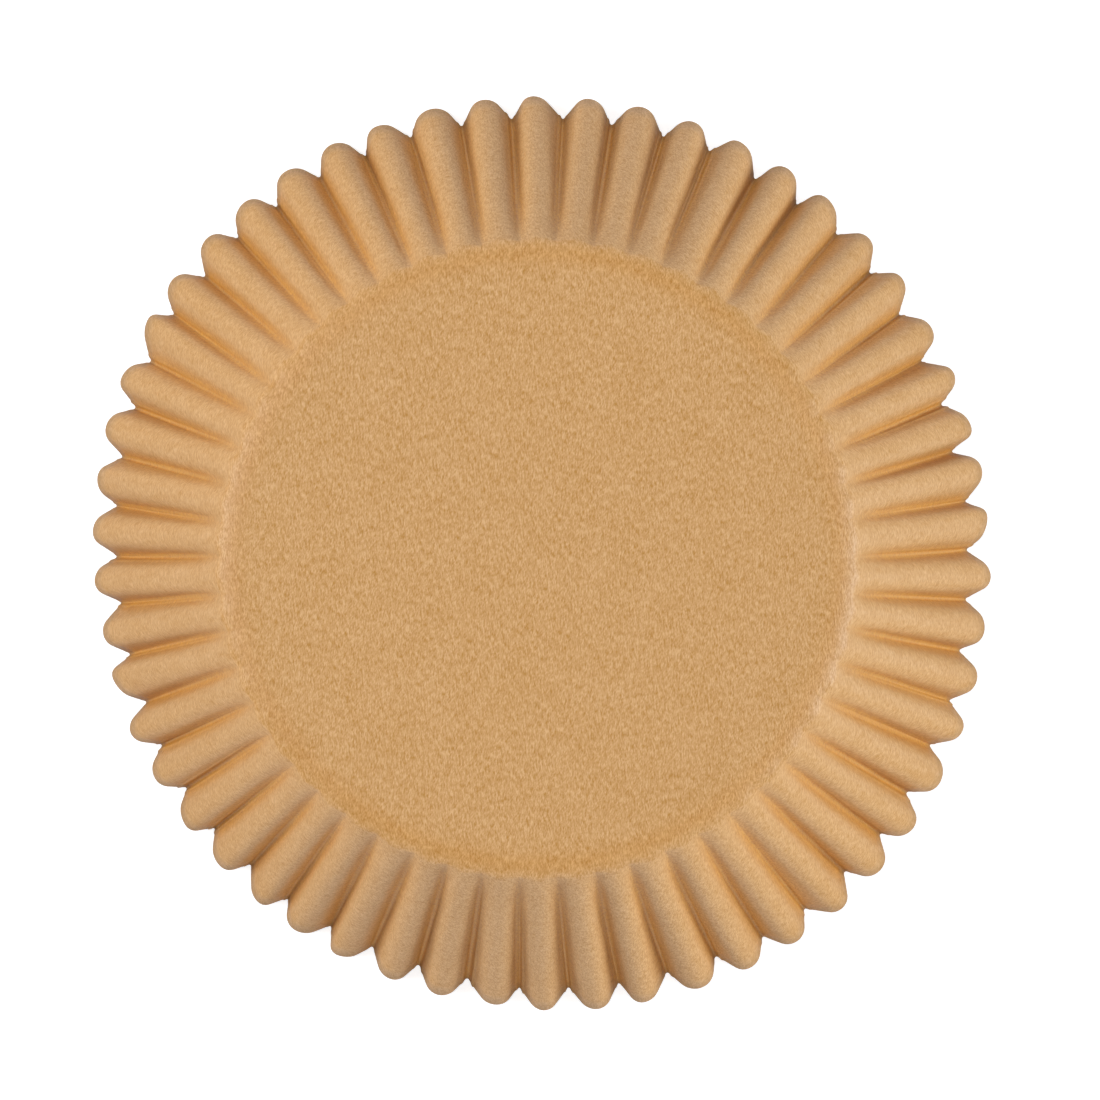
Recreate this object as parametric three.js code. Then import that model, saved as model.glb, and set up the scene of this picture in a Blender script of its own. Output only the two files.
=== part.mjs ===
// Fluted kraft paper cupcake liner: one round sheet of paper, pressed into a cup with a flat base
// and a flared wall of flutes. It stands upside down on its rim, with its base on top.
// Millimetres, +Z up, the table is at Z = 0 and the cup's axis is the Z axis.

import * as THREE from 'three';

// Driving sizes of the cup
const baseDiameter = 50; // across the outer end of the corner bend, on the crests
const rimDiameter = 74; // across the crests of the flutes, the mean of a slightly oval rim
const crestHeight = 30; // from the rim's crests to the outer face of the base
const cornerRadius = 2.8; // bend between the base and the wall
const paperThickness = 0.1;

// The rim has relaxed into a slight oval
const rimSpread = 0.5; // how far the rim's long axis stands out, and its short axis in
const longAxisAngle = 116; // degrees from +X

// Flutes: rounded crests outside, sharp folds inside
const fluteCount = 54;
const rimFluteDepth = 1.8; // from crest to fold, at the rim
const cornerFluteDepth = 0.45; // from crest to fold, where the bend meets the wall
const crestRoundness = 1.7; // 1 gives a plain zigzag, higher values a flatter crest and steeper flanks

// Fineness of the surface
const pointsPerFlute = 8;
const cornerSteps = 3;
const wallSteps = 2;

const kraftBrown = 0xcea16e;

// Side view of the sheet's middle along a crest, from the axis out: flat base, corner bend, straight
// slanted wall. The x of a profile point is its distance from the axis. Its y is its depth below the
// outer face of the base.
const halfPaper = paperThickness / 2;

// The wall leans out by the angle at which a line that touches the bend reaches the rim.
const bendDepth = halfPaper + cornerRadius;
const rimRun = (rimDiameter - baseDiameter) / 2;
const leanAngle = solveLean();
const flatRadius = baseDiameter / 2 - cornerRadius * Math.cos(leanAngle);
const wallStart = new THREE.Vector2(baseDiameter / 2, bendDepth - cornerRadius * Math.sin(leanAngle));
const rimPoint = new THREE.Vector2(rimDiameter / 2, crestHeight);

const profile = new THREE.Path();
profile.moveTo(0, halfPaper);
profile.lineTo(flatRadius, halfPaper);
profile.absarc(flatRadius, bendDepth, cornerRadius, -Math.PI / 2, -leanAngle, false);
profile.lineTo(rimPoint.x, rimPoint.y);

const bendLength = cornerRadius * (Math.PI / 2 - leanAngle);
const wallLength = wallStart.distanceTo(rimPoint);
const bendEnd = flatRadius + bendLength;
const sheetRadius = bendEnd + wallLength; // of the flat round sheet, measured along a crest

// The lean from the vertical at which the wall, starting where the bend ends, reaches the rim.
function solveLean() {
  let lean = 0;
  const rounds = 30;
  for (let round = 0; round < rounds; round += 1) {
    const drop = crestHeight - bendDepth + cornerRadius * Math.sin(lean);
    lean = Math.atan(rimRun / drop);
  }
  return lean;
}

// Distances from the centre, along the sheet, of the rings of points from the bend's start to the rim.
function ringDistances() {
  const distances = [];
  for (let step = 0; step < cornerSteps; step += 1) {
    distances.push(THREE.MathUtils.lerp(flatRadius, bendEnd, step / cornerSteps));
  }
  for (let step = 0; step <= wallSteps; step += 1) {
    distances.push(THREE.MathUtils.lerp(bendEnd, sheetRadius, step / wallSteps));
  }
  return distances;
}

// How far the sheet is pressed in from the crest line: 0 on a crest, 1 on a fold.
function foldShare(angle) {
  const turn = (angle * fluteCount) / (2 * Math.PI);
  const fromFold = Math.abs(turn - Math.round(turn)); // 0 on a fold, 0.5 on a crest
  return (1 - 2 * fromFold) ** crestRoundness;
}

// A point on the middle of the paper, at an angle round the axis and a distance along the sheet.
function sheetPoint(angle, distance) {
  const line = profile.getPoint(distance / sheetRadius);
  const bent = THREE.MathUtils.clamp((distance - flatRadius) / bendLength, 0, 1);
  const down = Math.max(distance - bendEnd, 0) / wallLength; // 0 at the bend, 1 at the rim
  const deepening = (rimFluteDepth - cornerFluteDepth) * down;
  const pressedIn = foldShare(angle) * (cornerFluteDepth * bent + deepening);
  const spread = rimSpread * down * Math.cos(2 * (angle - THREE.MathUtils.degToRad(longAxisAngle)));
  const radius = line.x - pressedIn + spread;
  // A fold deepens square to the slanted wall, so at the rim it reaches below the crests.
  const drop = foldShare(angle) * deepening * Math.tan(leanAngle);
  const height = crestHeight - line.y - drop;
  return new THREE.Vector3(radius * Math.cos(angle), radius * Math.sin(angle), height);
}

// The direction square to the paper, on the cup's outer side, from short steps over the surface.
function sheetNormal(angle, distance) {
  const angleStep = Math.PI / (fluteCount * pointsPerFlute);
  const lengthStep = 0.01;
  const around = sheetPoint(angle + angleStep, distance).sub(sheetPoint(angle - angleStep, distance));
  const nearer = sheetPoint(angle, distance - lengthStep);
  const further = sheetPoint(angle, Math.min(distance + lengthStep, sheetRadius));
  return new THREE.Vector3().crossVectors(further.sub(nearer), around).normalize();
}

// The closed sheet: an outer and an inner skin, half the paper's thickness either side of its middle,
// joined along the cut edge at the rim. Each skin is a flat base and rings of points down the wall.
function pressedSheet() {
  const rings = ringDistances();
  const around = fluteCount * pointsPerFlute;
  const positions = [];
  const faces = [];

  // side is 1 for the outer skin and -1 for the inner one
  function addSkin(side) {
    const centre = positions.length / 3;
    positions.push(0, 0, crestHeight - halfPaper + side * halfPaper);
    for (const distance of rings) {
      for (let step = 0; step < around; step += 1) {
        const angle = (2 * Math.PI * step) / around;
        const point = sheetPoint(angle, distance);
        point.addScaledVector(sheetNormal(angle, distance), side * halfPaper);
        positions.push(point.x, point.y, point.z);
      }
    }
    return centre;
  }

  const outer = addSkin(1);
  const inner = addSkin(-1);
  const toInner = inner - outer;
  const ringPoint = (ring, step) => outer + 1 + ring * around + (step % around);
  const lastRing = rings.length - 1;

  for (let step = 0; step < around; step += 1) {
    const next = step + 1;
    const hub = [outer, ringPoint(0, step), ringPoint(0, next)];
    faces.push(hub[0], hub[1], hub[2]);
    faces.push(hub[0] + toInner, hub[2] + toInner, hub[1] + toInner);
    for (let ring = 0; ring < lastRing; ring += 1) {
      const a = ringPoint(ring, step);
      const b = ringPoint(ring, next);
      const c = ringPoint(ring + 1, next);
      const d = ringPoint(ring + 1, step);
      faces.push(a, c, b, a, d, c);
      faces.push(a + toInner, b + toInner, c + toInner, a + toInner, c + toInner, d + toInner);
    }
    const edge = ringPoint(lastRing, step);
    const nextEdge = ringPoint(lastRing, next);
    faces.push(edge, edge + toInner, nextEdge + toInner, edge, nextEdge + toInner, nextEdge);
  }

  const sheet = new THREE.BufferGeometry();
  sheet.setAttribute('position', new THREE.Float32BufferAttribute(positions, 3));
  sheet.setIndex(faces);
  // The cup rests on the lowest points of its rim.
  sheet.computeBoundingBox();
  sheet.translate(0, 0, -sheet.boundingBox.min.z);
  sheet.computeVertexNormals();
  return sheet;
}

const kraftPaper = new THREE.MeshStandardMaterial({ color: kraftBrown, roughness: 0.9, metalness: 0 });
const paperLiner = new THREE.Mesh(pressedSheet(), kraftPaper);
paperLiner.name = 'paper_liner';

const cupcakeLiner = new THREE.Group();
cupcakeLiner.add(paperLiner);

export default cupcakeLiner;
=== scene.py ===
"""A fluted kraft paper cupcake liner, standing upside down on its rim and seen from straight above.

One pressed sheet replaces the plain solid: the same cup with rounder flutes, the small irregularities
of real folds, and a fibrous paper finish. Metres, +Z up, the table at Z = 0.
"""
import math
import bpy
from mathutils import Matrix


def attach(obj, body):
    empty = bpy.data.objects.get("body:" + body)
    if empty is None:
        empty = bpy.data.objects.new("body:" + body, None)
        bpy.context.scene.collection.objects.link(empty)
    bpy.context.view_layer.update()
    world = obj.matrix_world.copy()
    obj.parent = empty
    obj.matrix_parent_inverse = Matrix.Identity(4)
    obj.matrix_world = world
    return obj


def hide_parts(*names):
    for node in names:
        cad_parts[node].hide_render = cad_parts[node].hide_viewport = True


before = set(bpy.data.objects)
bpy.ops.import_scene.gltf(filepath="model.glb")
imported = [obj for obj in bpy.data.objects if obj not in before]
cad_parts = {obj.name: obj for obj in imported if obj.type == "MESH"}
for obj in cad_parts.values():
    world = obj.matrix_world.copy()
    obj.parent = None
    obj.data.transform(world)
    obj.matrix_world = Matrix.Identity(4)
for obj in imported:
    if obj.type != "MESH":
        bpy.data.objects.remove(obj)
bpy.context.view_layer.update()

from types import SimpleNamespace

import bpy
import numpy as np
from mathutils import Vector

MM = 0.001
TURN = 2 * math.pi

# The cup, as the solid has it. The base's radius is measured where the corner bend meets the wall.
BASE_RADIUS = 25 * MM
RIM_RADIUS = 37 * MM
CREST_HEIGHT = 30 * MM
PAPER = 0.1 * MM
FLUTES = 54
RIM_DEPTH = 1.8 * MM
PITCH = TURN / FLUTES

# Flutes at the corner are shallower than the solid's. Down the wall their depth grows by a power. The
# least depth keeps the section's formula sound where the sheet is flat.
CORNER_DEPTH = 0.28 * MM
DEPTH_GROWTH = 0.68
LEAST_DEPTH = 0.0001 * MM

# Section across a flute: a crest arc, a straight flank and a tight fold arc
RIM_CREST_ARC = 1.4 * MM
RIM_FOLD_ARC = 0.24 * MM
CORNER_CREST_ARC = 1.9 * MM
CORNER_FOLD_ARC = 0.5 * MM

# Side view of the corner: a gentle arc that tilts the base's edge, then a crease into the wall
EDGE_ARC = 4.2 * MM
EDGE_TILT = math.radians(26)
CREASE_ARC = 1.2 * MM

# The rim has relaxed out of round: waves round the rim, each with how far it stands out and the
# angle of its first high point in degrees. One wave is a shift, two an oval.
RIM_WAVES = {1: (0.62 * MM, 49), 2: (0.5 * MM, 116), 3: (0.15 * MM, 59), 4: (0.19 * MM, 47)}

# How unlike each other the folds are: turn round the cup and skew down the wall in degrees, and
# depth as a share
FOLD_TURN = 0.13
FOLD_SKEW = 0.25
FOLD_DEPTH_SPREAD = 0.045

# How unlike each other the crests are: height, roundness as a share, and shift as a share of a flute
CREST_OUT = 0.06 * MM
CREST_ARC_SPREAD = 0.12
CREST_SHIFT = 0.05

# A fine ledge stands out beside each fold. Its place and width are shares of the way from the crest
# to the fold, and down the wall it grows by a power.
LEDGE_PLACES = (0.78, 0.93)
LEDGE_RUNS = (0.02 * MM, 0.16 * MM)
LEDGE_WIDTH = 0.05
LEDGE_GROWTH = 0.7

# The folds drift off an even spacing, in degrees, least at one angle. The corner has a share of it.
DRIFT_MEAN = 0.35
DRIFT_SWING = 0.68
DRIFT_LEAST_AT = 163
DRIFT_AT_CORNER = 0.4

# A fold is pressed in square to the wall, so it also lies lower. Down the wall this grows by a power.
DROP_GROWTH = 0.5

# The wall is gently uneven: low waves that run at all angles over it and have their full height from
# a quarter of its way down. Spreads of how many radians they turn in a run along the wall, and of
# how many there are about the cup
WALL_WAVES = 6
WAVE_OUT = 0.025 * MM
WAVE_RUN = 4 * MM
WAVES_ALONG = 1.3
WAVES_ABOUT = 16
WAVE_RISE = 4

# The flat base is gently uneven too and mostly dips. Near its edge it is level, and from there the
# waves fade in, both as shares of its radius.
BASE_EDGE = 0.97
BASE_FADE = 0.5
BASE_DIP = 0.08 * MM
BASE_MIDDLE = 0.5
BASE_RUNS = (9 * MM, 8 * MM)
BASE_PHASES = (0.7, -0.4)

# Painted shade in the folds, a tint for the shade that falls there: how wide it is as a share of the way
# to the crest, how strong at the corner, and over what share of the wall it grows to full strength
FOLD_SHADE_WIDTH = 0.36
FOLD_SHADE_AT_CORNER = 0.2
FOLD_SHADE_RISE = 0.3

# The same painted shade, weaker, round the base's edge, where it tilts away from the lamps; its place and
# width as shares of the corner bend
EDGE_SHADE = 0.3
EDGE_SHADE_PLACE = 0.4
EDGE_SHADE_WIDTH = 0.3

# Painted highlight: pale lines along the folds and, weaker, along the ledges, where light catches them, in
# full from a third of the way down
FOLD_HIGHLIGHT_WIDTH = 0.04
LEDGE_HIGHLIGHT_WIDTH = 0.03
LEDGE_HIGHLIGHT = 0.8
HIGHLIGHT_RISE = 3

# Fineness of the mesh. The points crowd at the folds by a power.
POINTS_PER_SIDE = 16
FOLD_CROWDING = 1.5
EDGE_ROWS = 4
CREASE_ROWS = 3
WALL_ROWS = 14

RANDOM_SEED = 11
LEAN_ROUNDS = 30

# Rings of the flat base as shares of its radius. From the halved ring inwards they have half the points.
BASE_RINGS = (0.97, 0.93, 0.86, 0.76, 0.64, 0.5, 0.36, 0.22, 0.1)
HALVED_RING = 0.93

# Paper: the finish, the two tones of its fibres, the painted shade in its folds and the tone of its
# painted highlight lines
PAPER_FINISH = {"Roughness": 0.54, "Specular IOR Level": 0.8, "Sheen Weight": 0.04, "Sheen Roughness": 0.5}
DARK_TONE = (0.415, 0.175, 0.004, 1)
LIGHT_TONE = (0.625, 0.355, 0.14, 1)
FOLD_SHADE_COLOUR = (0.96, 0.75, 0.06, 1)
HIGHLIGHT_TONE = (0.64, 0.45, 0.15, 1)
HIGHLIGHT_STRENGTH = 0.17

# Grain of the paper: noise in streaks, with their width across and length along in millimetres, their
# turn in degrees and the noise's own detail and roughness. The shares add up to one.
GRAIN_LAYERS = {
    "fibres": {"across": 0.12, "along": 0.5, "turn": 6, "detail": 3, "roughness": 0.6, "share": 0.44},
    "strays": {"across": 0.1, "along": 0.3, "turn": -22, "detail": 2, "roughness": 0.6, "share": 0.36},
    "flocks": {"across": 0.4, "along": 0.9, "turn": 12, "detail": 1, "roughness": 0.5, "share": 0.14},
    "clouds": {"across": 3, "along": 4, "turn": 0, "detail": 2, "roughness": 0.5, "share": 0.06},
}
GRAIN_MEAN = 0.5
GRAIN_CONTRAST = 5.5
GRAIN_BUMP = 0.018 * MM

# Camera, straight above a point a little off the cup's axis
CAMERA_DISTANCE = 600 * MM
VIEW_WIDTH = 89.7 * MM
CAMERA_OFFSET = (0.95 * MM, 0.70 * MM)
SENSOR_WIDTH = 36.0
CLIP_START = 10 * MM

# Square softboxes that face the cup: azimuth from +X and elevation from the table in degrees,
# distance and width in metres, power in watts
WHITE_LAMP = (1, 1, 1)
SOFTBOXES = {
    "left_softbox": {"azimuth": 172, "elevation": 30, "distance": 0.7, "width": 0.36, "power": 4.0,
                     "colour": (1, 1.04, 1.1)},
    "right_softbox": {"azimuth": -8, "elevation": 18, "distance": 0.7, "width": 0.4, "power": 4.6,
                      "colour": (1, 1.09, 1.22)},
    "back_softbox": {"azimuth": 90, "elevation": 18, "distance": 0.7, "width": 0.4, "power": 1.6,
                     "colour": WHITE_LAMP},
    "front_softbox": {"azimuth": -90, "elevation": 16, "distance": 0.7, "width": 0.4, "power": 1.55,
                      "colour": WHITE_LAMP},
    "top_softbox": {"azimuth": 135, "elevation": 85, "distance": 0.9, "width": 0.45, "power": 1.6,
                    "colour": WHITE_LAMP},
}

# White surroundings: weak light from the world, and a strength of 1 where the camera sees it. The
# table lies just under the rim, so that no surfaces coincide.
WHITE = (1, 1, 1, 1)
WORLD_STRENGTH = 0.16
BACKGROUND_STRENGTH = 1.0
TABLE_HALF = 0.6
TABLE_COLOUR = (0.6, 0.6, 0.6, 1)
TABLE_ROUGHNESS = 0.9
TABLE_GLOW = 0.7
TABLE_LEVEL = -0.01 * MM


def wall_lean():
    """Angle from the vertical at which the wall leaves the crease and reaches the rim.

    The lean and the height of the corner depend on each other, so each round brings them closer.
    """
    lean = 0.0
    for _ in range(LEAN_ROUNDS):
        corner = (EDGE_ARC * (1 - math.cos(EDGE_TILT))
                  + CREASE_ARC * (math.cos(EDGE_TILT) - math.sin(lean)))
        lean = math.atan((RIM_RADIUS - BASE_RADIUS) / (CREST_HEIGHT - PAPER / 2 - corner))
    return lean


LEAN = wall_lean()
WALL_TILT = math.pi / 2 - LEAN
EDGE_LENGTH = EDGE_ARC * EDGE_TILT
CREASE_LENGTH = CREASE_ARC * (WALL_TILT - EDGE_TILT)
BEND_LENGTH = EDGE_LENGTH + CREASE_LENGTH
FLAT_RADIUS = (BASE_RADIUS - EDGE_ARC * math.sin(EDGE_TILT)
               - CREASE_ARC * (math.sin(WALL_TILT) - math.sin(EDGE_TILT)))
WALL_LENGTH = (RIM_RADIUS - BASE_RADIUS) / math.sin(LEAN)


def crest_line(distance):
    """Distance from the axis, and depth below the base, of the sheet's middle along a crest."""
    edge = np.clip((distance - FLAT_RADIUS) / EDGE_ARC, 0, EDGE_TILT)
    crease = np.clip((distance - FLAT_RADIUS - EDGE_LENGTH) / CREASE_ARC, 0, WALL_TILT - EDGE_TILT)
    tilt = EDGE_TILT + crease
    down = np.maximum(distance - FLAT_RADIUS - BEND_LENGTH, 0)
    out = (np.minimum(distance, FLAT_RADIUS) + EDGE_ARC * np.sin(edge)
           + CREASE_ARC * (np.sin(tilt) - math.sin(EDGE_TILT)) + down * math.sin(LEAN))
    depth = (PAPER / 2 + EDGE_ARC * (1 - np.cos(edge))
             + CREASE_ARC * (math.cos(EDGE_TILT) - np.cos(tilt)) + down * math.cos(LEAN))
    return out, depth


def flute_section(share, half_pitch, depth, crest_arc, fold_arc):
    """Sideways and inward run from the crest to a point that share of the way to the fold.

    The section is an arc, a straight line that touches both arcs, and an arc the other way. The
    sideways run is a share of half the pitch.
    """
    arcs = crest_arc + fold_arc
    flank = np.sqrt(np.maximum(half_pitch ** 2 + (arcs - depth) ** 2 - arcs ** 2, 0))
    slope = np.arctan2(arcs, flank) - np.arctan2(arcs - depth, half_pitch)
    crest_end = crest_arc * slope
    flank_end = crest_end + flank
    run = share * (flank_end + fold_arc * slope)
    on_crest = np.minimum(run, crest_end) / crest_arc
    on_flank = np.clip(run - crest_end, 0, flank)
    on_fold = slope - np.maximum(run - flank_end, 0) / fold_arc
    sideways = (crest_arc * np.sin(on_crest) + on_flank * np.cos(slope)
                + fold_arc * (np.sin(slope) - np.sin(on_fold)))
    inward = (crest_arc * (1 - np.cos(on_crest)) + on_flank * np.sin(slope)
              + fold_arc * (np.cos(on_fold) - np.cos(slope)))
    return sideways / half_pitch, inward


def hump(distance, width):
    """A smooth hump, 1 high in its middle."""
    return np.exp(-(distance / width) ** 2)


def rim_shape(angle):
    """How far the rim stands out from a circle at an angle round it."""
    return sum(out * np.cos(waves * (angle - math.radians(at))) for waves, (out, at) in RIM_WAVES.items())


def draw_differences(rng):
    """Small differences between the folds, and between the flutes or their two sides."""
    return SimpleNamespace(
        fold_turn=np.radians(rng.normal(0, FOLD_TURN, FLUTES)),
        fold_skew=np.radians(rng.normal(0, FOLD_SKEW, FLUTES)),
        fold_depth=rng.normal(1, FOLD_DEPTH_SPREAD, FLUTES),
        crest_out=rng.normal(0, CREST_OUT, FLUTES),
        crest_arc=rng.normal(1, CREST_ARC_SPREAD, (FLUTES, 2)),
        crest_shift=rng.normal(0, CREST_SHIFT, FLUTES),
        ledge_place=rng.uniform(*LEDGE_PLACES, (FLUTES, 2)),
        ledge_out=rng.uniform(*LEDGE_RUNS, (FLUTES, 2)),
    )


def fold_turns(drawn, down):
    """Angles by which the folds stand off an even spacing, one row for each ring."""
    lay = np.arange(FLUTES) * TURN / FLUTES
    drift = np.radians(DRIFT_MEAN - DRIFT_SWING * np.cos(lay - math.radians(DRIFT_LEAST_AT)))
    growth = DRIFT_AT_CORNER + (1 - DRIFT_AT_CORNER) * down
    return drawn.fold_turn + drawn.fold_skew * (down - 0.5) + drift * growth


def painted_light_shares(share, ledge_place, bent, down):
    """How strongly each point gets painted shade, in a fold or round the base's edge, and painted
    highlight lines.
    """
    strength = np.clip(FOLD_SHADE_AT_CORNER * bent + down / FOLD_SHADE_RISE, 0, 1)
    # Painted shade in the folds
    fold = hump(1 - share, FOLD_SHADE_WIDTH) * strength
    # Painted shade round the base's edge
    edge = EDGE_SHADE * hump(bent - EDGE_SHADE_PLACE, EDGE_SHADE_WIDTH) * (down == 0)
    # Painted highlight along the fold bottoms and the ledges
    painted_highlight = hump(1 - share, FOLD_HIGHLIGHT_WIDTH) + LEDGE_HIGHLIGHT * hump(share - ledge_place, LEDGE_HIGHLIGHT_WIDTH)
    return np.stack([np.maximum(fold, edge), painted_highlight * np.clip(down * HIGHLIGHT_RISE, 0, 1)], -1)


def pressed_grid():
    """Points of the sheet's middle, one row for each ring, with their flat places and their shares of
    painted shade and highlight.
    """
    rng = np.random.default_rng(RANDOM_SEED)
    drawn = draw_differences(rng)
    rows = np.concatenate([
        FLAT_RADIUS + EDGE_LENGTH * np.arange(EDGE_ROWS) / EDGE_ROWS,
        FLAT_RADIUS + EDGE_LENGTH + CREASE_LENGTH * np.arange(CREASE_ROWS) / CREASE_ROWS,
        FLAT_RADIUS + BEND_LENGTH + WALL_LENGTH * np.arange(WALL_ROWS + 1) / WALL_ROWS,
    ])[:, None]
    bent = np.clip((rows - FLAT_RADIUS) / BEND_LENGTH, 0, 1)
    down = np.clip((rows - FLAT_RADIUS - BEND_LENGTH) / WALL_LENGTH, 0, 1)

    # Each flute runs from its first fold over a crest to the next fold.
    step = np.arange(POINTS_PER_SIDE) / POINTS_PER_SIDE
    share = np.tile(np.concatenate([1 - step ** FOLD_CROWDING, 1 - (1 - step) ** FOLD_CROWDING]), FLUTES)
    side = np.tile(np.repeat([-1, 1], POINTS_PER_SIDE), FLUTES)
    flute = np.repeat(np.arange(FLUTES), 2 * POINTS_PER_SIDE)
    hand = (side > 0).astype(int)
    fold = (flute + hand) % FLUTES

    # The crest arc is kept small enough for both arcs to fit into a shallow flute.
    corner_deep = CORNER_DEPTH * bent ** 2
    deep = (corner_deep + (RIM_DEPTH - CORNER_DEPTH) * down ** DEPTH_GROWTH) * drawn.fold_depth[fold]
    deep = np.maximum(deep, LEAST_DEPTH)
    out, below = crest_line(rows)
    half_pitch = (out - deep / 2) * PITCH / 2
    crest_arc = CORNER_CREST_ARC + (RIM_CREST_ARC - CORNER_CREST_ARC) * down
    crest_arc = crest_arc * drawn.crest_arc[flute, hand]
    crest_arc = np.minimum(crest_arc, (half_pitch ** 2 + deep ** 2) / (2 * deep) - CORNER_FOLD_ARC)
    fold_arc = CORNER_FOLD_ARC + (RIM_FOLD_ARC - CORNER_FOLD_ARC) * down
    sideways, inward = flute_section(share, half_pitch, deep, crest_arc, fold_arc)
    ledge_place = drawn.ledge_place[flute, hand]
    ledge = hump(share - ledge_place, LEDGE_WIDTH)
    inward = inward - drawn.ledge_out[flute, hand] * ledge * down ** LEDGE_GROWTH

    turn = fold_turns(drawn, down)
    here = flute * PITCH + turn[:, flute]
    after = (flute + 1) * PITCH + turn[:, (flute + 1) % FLUTES]
    across = 0.5 + 0.5 * side * sideways
    across = across + drawn.crest_shift[flute] * np.sin(math.pi * across) ** 2 * down
    angle = here + (after - here) * across

    bulge = drawn.crest_out[flute] * np.sin(math.pi * across) ** 2
    radius = out - inward + down * (rim_shape(angle) + bulge)
    drop = np.maximum(inward - corner_deep * share, 0) * math.tan(LEAN) * down ** DROP_GROWTH
    height = CREST_HEIGHT - below - drop
    for _ in range(WALL_WAVES):
        along, about, phase = rng.normal(0, WAVES_ALONG), rng.normal(0, WAVES_ABOUT), rng.uniform(0, TURN)
        waves = np.sin(along * rows / WAVE_RUN + np.round(about) * angle + phase)
        radius = radius + WAVE_OUT * waves * np.clip(down * WAVE_RISE, 0, 1)

    grid = np.stack([radius * np.cos(angle), radius * np.sin(angle), height], -1)
    flat_angle = (flute + 0.5 + 0.5 * side * share) * PITCH
    flat = np.stack([rows * np.cos(flat_angle), rows * np.sin(flat_angle)], -1)
    return grid, flat, painted_light_shares(share, ledge_place, bent, down)


def grid_normals(grid):
    """Outward normals of the grid's points. The first ring lies on the level base."""
    around = np.roll(grid, -1, 1) - np.roll(grid, 1, 1)
    along = np.gradient(grid, axis=0)
    normal = np.cross(along, around)
    normal[0] = (0, 0, 1)
    return normal / np.linalg.norm(normal, axis=-1, keepdims=True)


def base_height(x, y):
    """How far the flat base stands off its level."""
    fade = np.clip((BASE_EDGE - np.hypot(x, y) / FLAT_RADIUS) / BASE_FADE, 0, 1)
    waves = np.sin(x / BASE_RUNS[0] + BASE_PHASES[0]) * np.cos(y / BASE_RUNS[1] + BASE_PHASES[1])
    return BASE_DIP * fade ** 2 * (waves - BASE_MIDDLE)


def ring_quads(outer, inner, count):
    """Quads between two rings of as many points."""
    i = np.arange(count)
    j = (i + 1) % count
    return np.stack([outer + i, outer + j, inner + j, inner + i], 1).tolist()


def halving_triangles(outer, inner, count):
    """Triangles between a ring of points and one of half as many inside it."""
    triangles = []
    for i in range(0, count, 2):
        a, b, c = outer + i, outer + i + 1, outer + (i + 2) % count
        d, e = inner + i // 2, inner + (i // 2 + 1) % (count // 2)
        triangles += [[a, b, d], [b, e, d], [b, c, e]]
    return triangles


class Sheet:
    """Points of the mesh with their places on the flat sheet and their shares of painted shade and
    highlight, and the faces.
    """

    def __init__(self):
        self.points, self.spots, self.tints, self.faces = [], [], [], []

    def add_ring(self, ring, spots, tints):
        """Adds a ring of points and returns the number of its first one."""
        first = len(self.points)
        self.points.extend(ring.tolist())
        self.spots.extend(spots.tolist())
        self.tints.extend(tints.tolist())
        return first

    def add_plain_ring(self, spots, level):
        """Adds a ring of the flat base, which has no painted shade or highlight."""
        return self.add_ring(np.column_stack([spots, level]), spots, np.zeros((len(spots), 2)))

    def add_faces(self, faces, upward):
        """Adds faces that are listed as seen from outside, turned over for the inside."""
        self.faces.extend(face if upward else face[::-1] for face in faces)

    def add_wall(self, skin, flat, marks, upward):
        """Adds one side of the corner and the wall. Returns its first ring and its rim."""
        first = ring = self.add_ring(skin[0], flat[0], marks[0])
        for row in range(1, len(skin)):
            lower = self.add_ring(skin[row], flat[row], marks[row])
            self.add_faces(ring_quads(lower, ring, skin.shape[1]), upward)
            ring = lower
        return first, ring

    def add_base(self, outer, angle, level, upward):
        """Adds one side of the flat base inside a ring, whose points lie at these angles."""
        for share in BASE_RINGS:
            count = len(angle)
            if share == HALVED_RING:
                angle = angle[::2]
            spots = FLAT_RADIUS * share * np.stack([np.cos(angle), np.sin(angle)], 1)
            inner = self.add_plain_ring(spots, level + base_height(spots[:, 0], spots[:, 1]))
            between = halving_triangles if share == HALVED_RING else ring_quads
            self.add_faces(between(outer, inner, count), upward)
            outer = inner
        count = len(angle)
        centre = self.add_plain_ring(np.zeros((1, 2)), level + base_height(0.0, 0.0))
        self.add_faces([[outer + i, outer + (i + 1) % count, centre] for i in range(count)], upward)

    def make_mesh(self, name):
        mesh = bpy.data.meshes.new(name)
        mesh.from_pydata(self.points, [], self.faces)
        mesh.update()
        mesh.polygons.foreach_set("use_smooth", [True] * len(mesh.polygons))
        corner = np.empty(len(mesh.loops), dtype=np.int32)
        mesh.loops.foreach_get("vertex_index", corner)
        flat_sheet = mesh.uv_layers.new(name="flat_sheet")
        flat_sheet.data.foreach_set("uv", (np.array(self.spots) / MM)[corner].ravel())
        # Each point's share of painted shade and of painted highlight, kept on the mesh
        for tint, values in zip(("crease", "painted_highlight"), np.array(self.tints).T):
            attribute = mesh.attributes.new(tint, "FLOAT", "POINT")
            attribute.data.foreach_set("value", np.ascontiguousarray(values))
        return mesh


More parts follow.
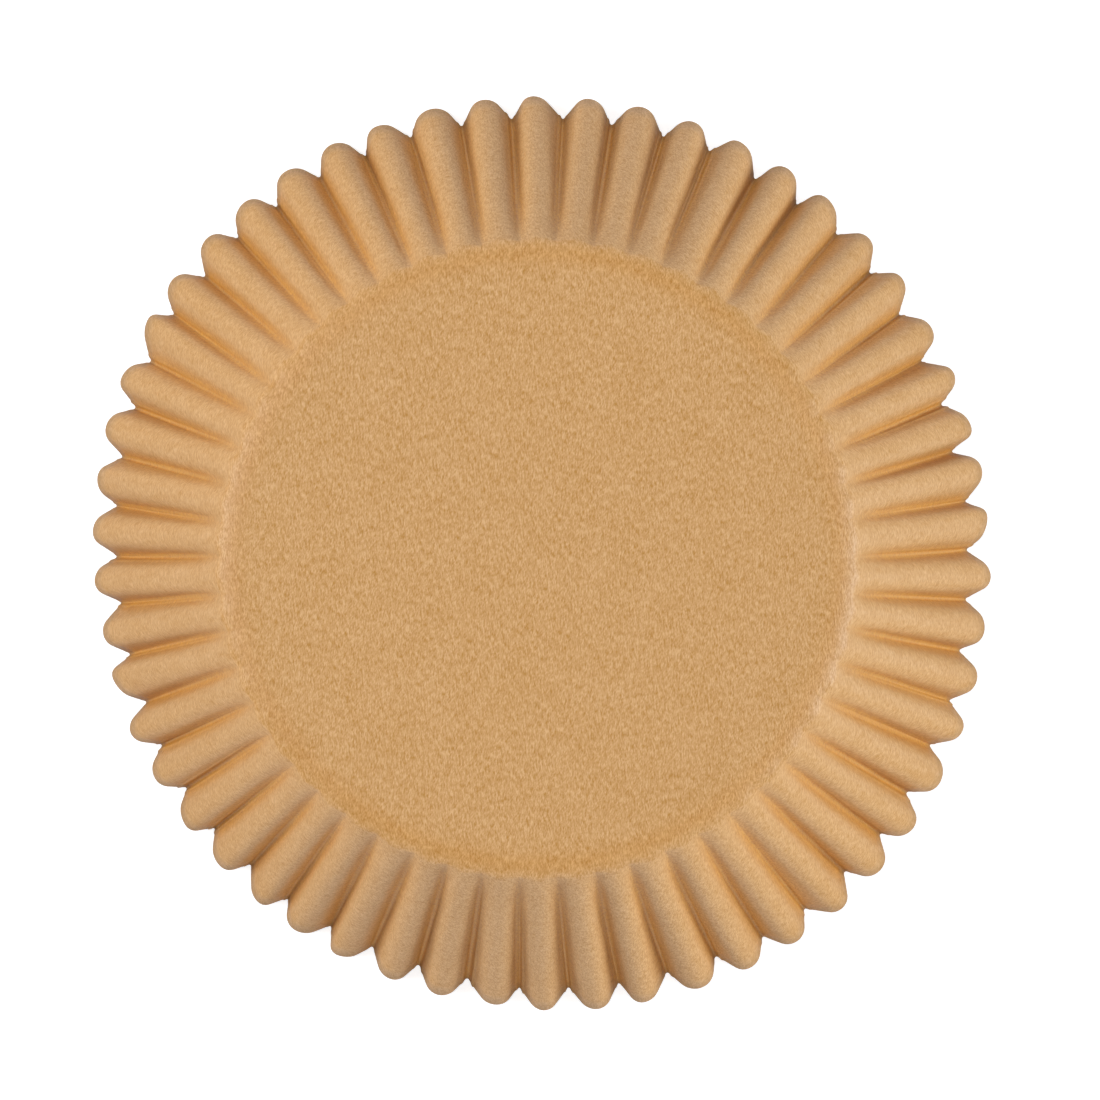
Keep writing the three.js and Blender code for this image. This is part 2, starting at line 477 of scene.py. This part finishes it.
def build_liner():
    """The pressed sheet as one closed mesh, moved down so that it stands on the table."""
    grid, flat, marks = pressed_grid()
    normal = grid_normals(grid)
    angle = np.arctan2(flat[0, :, 1], flat[0, :, 0])
    sheet = Sheet()
    rims = []
    for side in (1, -1):
        off = side * PAPER / 2
        first, rim = sheet.add_wall(grid + normal * off, flat, marks, side > 0)
        sheet.add_base(first, angle, grid[0, :, 2].mean() + off, side > 0)
        rims.append(rim)
    outside, inside = rims
    sheet.add_faces(ring_quads(inside, outside, grid.shape[1]), True)

    mesh = sheet.make_mesh("liner_paper")
    lowest = min(vertex.co.z for vertex in mesh.vertices)
    for vertex in mesh.vertices:
        vertex.co.z -= lowest
    liner = bpy.data.objects.new("liner_paper", mesh)
    bpy.context.scene.collection.objects.link(liner)
    return liner


def feed(tree, socket, value):
    """Sets a socket to a number or a colour, or links it to the output of another node."""
    if isinstance(value, bpy.types.NodeSocket):
        tree.links.new(value, socket)
    else:
        socket.default_value = value


def combine(tree, operation, a, b):
    """The result of a calculation with two values."""
    node = tree.nodes.new("ShaderNodeMath")
    node.operation = operation
    feed(tree, node.inputs[0], a)
    feed(tree, node.inputs[1], b)
    return node.outputs[0]


def mix(tree, factor, a, b, blend="MIX"):
    """The result of mixing two colours."""
    node = tree.nodes.new("ShaderNodeMix")
    node.data_type = "RGBA"
    node.blend_type = blend
    feed(tree, node.inputs["Factor"], factor)
    feed(tree, node.inputs["A"], a)
    feed(tree, node.inputs["B"], b)
    return node.outputs["Result"]


def point_value(tree, name):
    """A value that the mesh keeps for each of its points."""
    node = tree.nodes.new("ShaderNodeAttribute")
    node.attribute_name = name
    return node.outputs["Fac"]


def streaks(tree, spot, name, layer):
    """Noise in streaks at a spot on the flat sheet."""
    place = tree.nodes.new("ShaderNodeMapping")
    place.vector_type = "TEXTURE"
    place.inputs["Rotation"].default_value = (0, 0, math.radians(layer["turn"]))
    place.inputs["Scale"].default_value = (layer["across"], layer["along"], 1)
    noise = tree.nodes.new("ShaderNodeTexNoise")
    noise.label = name
    noise.inputs["Scale"].default_value = 1.0
    noise.inputs["Detail"].default_value = layer["detail"]
    noise.inputs["Roughness"].default_value = layer["roughness"]
    tree.links.new(spot, place.inputs["Vector"])
    tree.links.new(place.outputs["Vector"], noise.inputs["Vector"])
    return noise.outputs[0]


def paper_grain(tree):
    """How light the paper is at each spot, from all layers of its grain."""
    flat_sheet = tree.nodes.new("ShaderNodeUVMap")
    flat_sheet.uv_map = "flat_sheet"
    grain = 0.0
    for name, layer in GRAIN_LAYERS.items():
        noise = streaks(tree, flat_sheet.outputs["UV"], name, layer)
        grain = combine(tree, "ADD", grain, combine(tree, "MULTIPLY", noise, layer["share"]))
    off_mean = combine(tree, "SUBTRACT", grain, GRAIN_MEAN)
    return combine(tree, "ADD", combine(tree, "MULTIPLY", off_mean, GRAIN_CONTRAST), GRAIN_MEAN)


def kraft_material():
    material = bpy.data.materials.new("kraft_paper")
    material.use_nodes = True
    tree = material.node_tree
    shader = tree.nodes["Principled BSDF"]
    for name, value in PAPER_FINISH.items():
        shader.inputs[name].default_value = value

    grain = paper_grain(tree)
    paper = mix(tree, grain, DARK_TONE, LIGHT_TONE)
    # Painted shade multiplied into the folds and round the base's edge
    shaded_paper = mix(tree, point_value(tree, "crease"), paper, FOLD_SHADE_COLOUR, "MULTIPLY")
    # Painted highlight: pale lines mixed in along the folds and ledges
    highlight_share = combine(tree, "MULTIPLY", point_value(tree, "painted_highlight"), HIGHLIGHT_STRENGTH)
    tree.links.new(mix(tree, highlight_share, shaded_paper, HIGHLIGHT_TONE), shader.inputs["Base Color"])

    bump = tree.nodes.new("ShaderNodeBump")
    bump.inputs["Distance"].default_value = GRAIN_BUMP
    tree.links.new(grain, bump.inputs["Height"])
    tree.links.new(bump.outputs["Normal"], shader.inputs["Normal"])
    return material


def make_camera():
    data = bpy.data.cameras.new("camera")
    data.sensor_width = SENSOR_WIDTH
    data.lens = SENSOR_WIDTH * CAMERA_DISTANCE / VIEW_WIDTH
    data.clip_start = CLIP_START
    camera = bpy.data.objects.new("camera", data)
    camera.location = (*CAMERA_OFFSET, CAMERA_DISTANCE)
    bpy.context.scene.collection.objects.link(camera)
    bpy.context.scene.camera = camera


def make_softbox(name, azimuth, elevation, distance, width, power, colour):
    """A square lamp that faces the middle of the cup's rim."""
    data = bpy.data.lights.new(name, "AREA")
    data.shape = "SQUARE"
    data.size = width
    data.energy = power
    data.color = colour
    around, above = math.radians(azimuth), math.radians(elevation)
    level = math.cos(above)
    towards = Vector((level * math.cos(around), level * math.sin(around), math.sin(above)))
    lamp = bpy.data.objects.new(name, data)
    lamp.location = towards * distance
    lamp.rotation_euler = towards.to_track_quat("Z", "Y").to_euler()
    bpy.context.scene.collection.objects.link(lamp)


def make_world():
    """Weak light from all round the cup, and a white background for the camera."""
    world = bpy.data.worlds.new("world")
    world.use_nodes = True
    nodes, links = world.node_tree.nodes, world.node_tree.links
    path = nodes.new("ShaderNodeLightPath")
    strength = nodes.new("ShaderNodeMix")
    strength.inputs["A"].default_value = WORLD_STRENGTH
    strength.inputs["B"].default_value = BACKGROUND_STRENGTH
    links.new(path.outputs["Is Camera Ray"], strength.inputs["Factor"])
    links.new(strength.outputs["Result"], nodes["Background"].inputs["Strength"])
    nodes["Background"].inputs["Color"].default_value = WHITE
    bpy.context.scene.world = world


def table_material():
    """Grey under the lamps, with a glow for the camera that makes it white but for the cup's shadow."""
    material = bpy.data.materials.new("table")
    material.use_nodes = True
    tree = material.node_tree
    shader = tree.nodes["Principled BSDF"]
    shader.inputs["Base Color"].default_value = TABLE_COLOUR
    shader.inputs["Roughness"].default_value = TABLE_ROUGHNESS
    shader.inputs["Emission Color"].default_value = WHITE
    path = tree.nodes.new("ShaderNodeLightPath")
    glow = combine(tree, "MULTIPLY", path.outputs["Is Camera Ray"], TABLE_GLOW)
    tree.links.new(glow, shader.inputs["Emission Strength"])
    return material


def make_table():
    corners = [(-1, -1, 0), (1, -1, 0), (1, 1, 0), (-1, 1, 0)]
    mesh = bpy.data.meshes.new("table")
    mesh.from_pydata([Vector(corner) * TABLE_HALF for corner in corners], [], [(0, 1, 2, 3)])
    mesh.materials.append(table_material())
    table = bpy.data.objects.new("table", mesh)
    table.location.z = TABLE_LEVEL
    bpy.context.scene.collection.objects.link(table)


liner = build_liner()
liner.data.materials.append(kraft_material())
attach(liner, "root")
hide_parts("paper_liner")

make_camera()
for name, settings in SOFTBOXES.items():
    make_softbox(name, **settings)
make_world()
make_table()
bpy.context.scene.view_settings.view_transform = "Standard"
